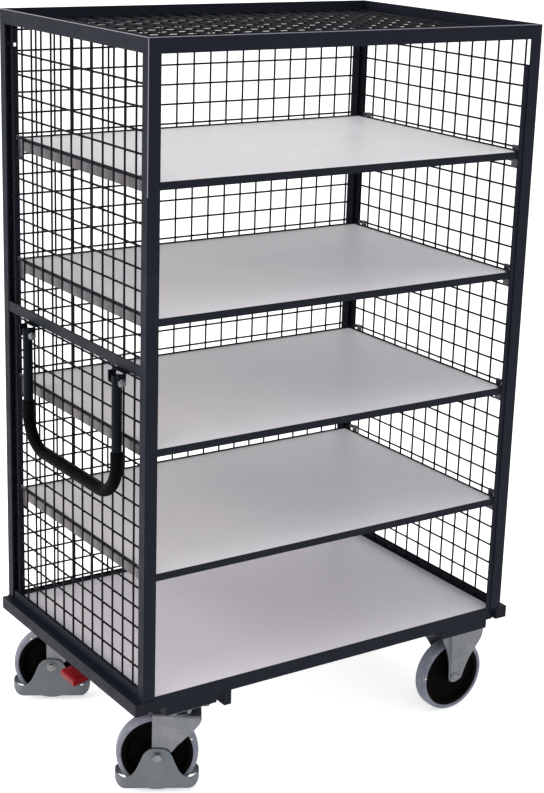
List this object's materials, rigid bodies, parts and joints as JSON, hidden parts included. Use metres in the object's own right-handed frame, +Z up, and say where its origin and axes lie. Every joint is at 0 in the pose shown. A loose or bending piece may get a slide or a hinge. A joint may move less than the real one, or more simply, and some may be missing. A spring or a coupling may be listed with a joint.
{
  "type": "roll cage container",
  "caption": "Shelved mesh trolley: an open-fronted wire cage on a steel base with laminated shelves, a swing-down push handle and braked swivel casters.",
  "frame": {"origin": "on the floor, under the middle of the whole object's box", "axes": "+Z up, +X along the long side from the push-handle end to the plain end, +Y from the open front to the rear panel"},
  "size_m": [1.137, 0.7374, 1.815],
  "materials": {
    "frame_paint": "satin powder coat, near-black grey",
    "mesh_paint": "satin powder coat on welded wire",
    "shelf_laminate": "light grey melamine laminate",
    "deck_laminate": "light grey melamine laminate",
    "zinc": "bright zinc plating",
    "zinc_pressed": "zinc plated pressed steel",
    "zinc_screws": "bright zinc plating",
    "plain_bar": "plain drawn bar",
    "black_plastic": "moulded black",
    "grip_foam": "soft black sleeve",
    "handle_paint": "semi-gloss black",
    "guard_plastic": "mid-grey moulding",
    "tyre_grey": "soft grey rubber",
    "rim_black": "black nylon",
    "shoe_rubber": "hard black",
    "pedal_red": "red moulding"
  },
  "bodies": {
    "cage": {"end_rail_left": "frame_paint", "end_rail_right": "frame_paint", "end_rail_caps": "black_plastic", "base_long_rails": "frame_paint", "deck_board": "deck_laminate", "cross_members": "frame_paint", "caster_channels": "frame_paint", "post_front_left": "frame_paint", "post_front_right": "frame_paint", "post_rear_left": "frame_paint", "post_rear_right": "frame_paint", "top_rail_front": "frame_paint", "top_rail_rear": "frame_paint", "top_rail_left": "frame_paint", "top_rail_right": "frame_paint", "foot_angles": "frame_paint", "mid_rail_left": "frame_paint", "mesh_left": "mesh_paint", "mesh_right": "mesh_paint", "mesh_rear": "mesh_paint", "mesh_roof": "mesh_paint", "panel_strips": "frame_paint", "panel_screws": "frame_paint", "shelf_board_1": "shelf_laminate", "shelf_board_2": "shelf_laminate", "shelf_board_3": "shelf_laminate", "shelf_board_4": "shelf_laminate", "shelf_edges": "frame_paint", "shelf_carriers": "zinc", "shelf_hooks": "zinc", "handle_brackets": "handle_paint", "handle_bolts": "zinc_screws", "swivel_plate_front_left": "zinc_pressed", "swivel_plate_rear_left": "zinc_pressed", "fixed_fork_front_right": "zinc_pressed", "fixed_fork_rear_right": "zinc_pressed", "fixed_axle_bolts": "zinc_screws", "caster_bolts": "zinc_screws", "shaft_bearings": "frame_paint"},
    "push_handle": {"handle_tube": "handle_paint", "handle_grip": "grip_foam"},
    "pedal": {"brake_shaft": "plain_bar", "pedal_arm": "handle_paint", "pedal_pad": "pedal_red"},
    "swivel_front_left": {"swivel_fork_front_left": "zinc_pressed", "axle_bolt_front_left": "zinc_screws", "foot_guard_front_left": "guard_plastic"},
    "shoe_front_left": {"brake_shoe_front_left": "shoe_rubber"},
    "swivel_rear_left": {"swivel_fork_rear_left": "zinc_pressed", "axle_bolt_rear_left": "zinc_screws", "foot_guard_rear_left": "guard_plastic"},
    "shoe_rear_left": {"brake_shoe_rear_left": "shoe_rubber"},
    "wheel_front_left": {"rim_front_left": "rim_black", "tyre_front_left": "tyre_grey"},
    "wheel_rear_left": {"rim_rear_left": "rim_black", "tyre_rear_left": "tyre_grey"},
    "wheel_front_right": {"rim_front_right": "rim_black", "tyre_front_right": "tyre_grey"},
    "wheel_rear_right": {"rim_rear_right": "rim_black", "tyre_rear_right": "tyre_grey"}
  },
  "joints": [
    {"name": "handle_pivot", "type": "hinge", "parent": "cage", "child": "push_handle", "pos_m": [-0.5535, -0.028, 1.051], "axis": [0, 1, 0], "range_deg": [0, 90]},
    {"name": "pedal_pivot", "type": "hinge", "parent": "cage", "child": "pedal", "pos_m": [-0.3915, -0.017, 0.222], "axis": [0, -1, 0], "range_deg": [0, 20]},
    {"name": "swivel_turn_front_left", "type": "hinge", "parent": "cage", "child": "swivel_front_left", "pos_m": [-0.3915, -0.281, 0.2], "axis": [0, 0, 1], "continuous": true},
    {"name": "wheel_spin_front_left", "type": "hinge", "parent": "swivel_front_left", "child": "wheel_front_left", "pos_m": [-0.43913, -0.2535, 0.1], "axis": [0.5, 0.866, 0], "continuous": true},
    {"name": "shoe_slide_front_left", "type": "slide", "parent": "swivel_front_left", "child": "shoe_front_left", "axis": [0, 0, -1], "range_m": [0, 0.003]},
    {"name": "swivel_turn_rear_left", "type": "hinge", "parent": "cage", "child": "swivel_rear_left", "pos_m": [-0.3915, 0.281, 0.2], "axis": [0, 0, 1], "continuous": true},
    {"name": "wheel_spin_rear_left", "type": "hinge", "parent": "swivel_rear_left", "child": "wheel_rear_left", "pos_m": [-0.43913, 0.3085, 0.1], "axis": [0.5, 0.866, 0], "continuous": true},
    {"name": "shoe_slide_rear_left", "type": "slide", "parent": "swivel_rear_left", "child": "shoe_rear_left", "axis": [0, 0, -1], "range_m": [0, 0.003]},
    {"name": "wheel_spin_front_right", "type": "hinge", "parent": "cage", "child": "wheel_front_right", "pos_m": [0.445, -0.281, 0.1], "axis": [0, 1, 0], "continuous": true},
    {"name": "wheel_spin_rear_right", "type": "hinge", "parent": "cage", "child": "wheel_rear_right", "pos_m": [0.445, 0.281, 0.1], "axis": [0, 1, 0], "continuous": true}
  ],
  "couplings": [
    {"joint": "shoe_slide_front_left", "follows": "pedal_pivot", "m_per_rad": 0.008308},
    {"joint": "shoe_slide_rear_left", "follows": "pedal_pivot", "m_per_rad": 0.008308}
  ]
}
